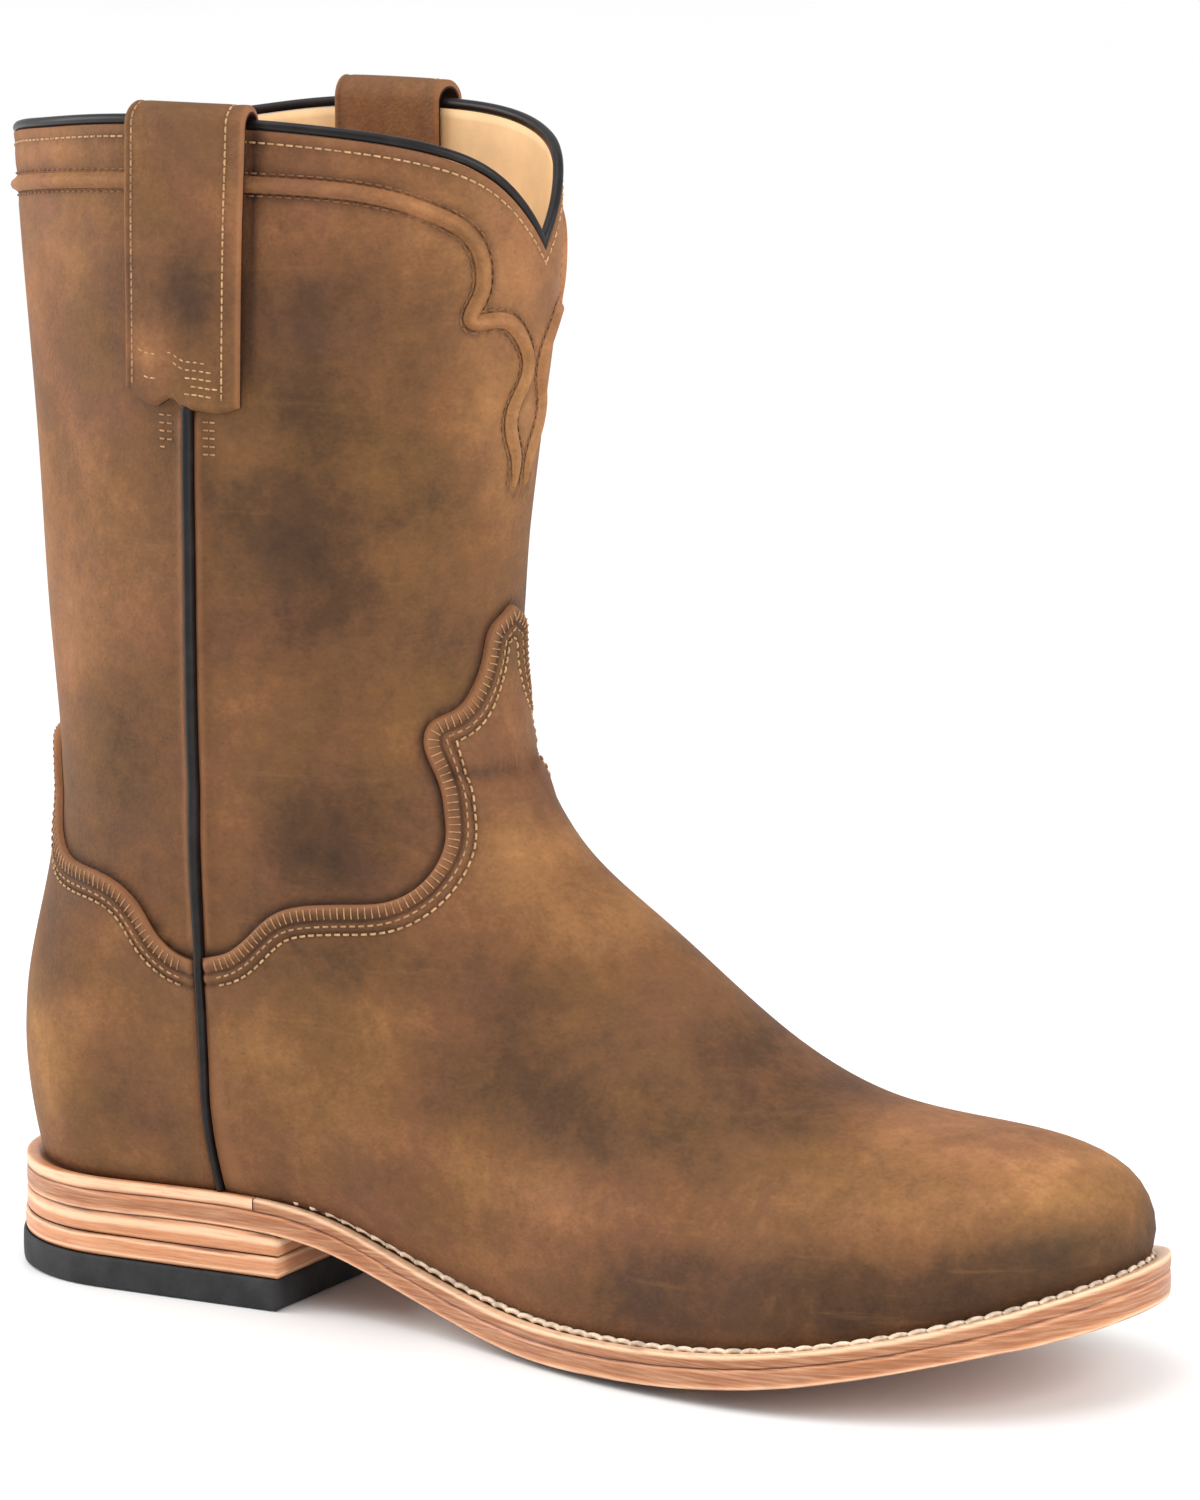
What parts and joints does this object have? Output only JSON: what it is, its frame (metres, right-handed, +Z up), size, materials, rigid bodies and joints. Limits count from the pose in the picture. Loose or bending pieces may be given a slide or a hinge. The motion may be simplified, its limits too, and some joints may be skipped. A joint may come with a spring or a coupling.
{
  "type": "roper boot",
  "caption": "Pull-on western roper boot with a scalloped vamp and counter, pull straps, welted leather sole and low square heel.",
  "frame": {"origin": "On the floor under the middle of the heel cap, 42 mm ahead of the upper's rearmost line at the sole; the centre of the mount heel_rest.", "axes": "+X points from the heel to the toe, +Y to the inner (medial) side of the foot, +Z up along the shaft."},
  "size_m": [0.3005, 0.1063, 0.2892],
  "materials": {
    "distressed_leather": "waxed, distressed brown leather",
    "black_piping": "smooth, slightly glossy piping",
    "stacked_leather": "waxed edge of layered sole leather",
    "tan_lining_leather": "smooth tan leather",
    "black_rubber": "matt rubber"
  },
  "bodies": {
    "root": {"upper": "distressed_leather", "vamp": "distressed_leather", "heel_counter": "distressed_leather", "collar_piping": "black_piping", "shaft_cord": "distressed_leather", "side_piping_lateral": "black_piping", "side_piping_medial": "black_piping", "pull_strap_lateral": "distressed_leather", "pull_strap_medial": "distressed_leather", "insole": "tan_lining_leather", "welt": "stacked_leather", "heel_rand": "stacked_leather", "outsole": "stacked_leather", "heel_lift_upper": "stacked_leather", "heel_lift_lower": "stacked_leather", "heel_cap": "black_rubber"}
  },
  "joints": []
}
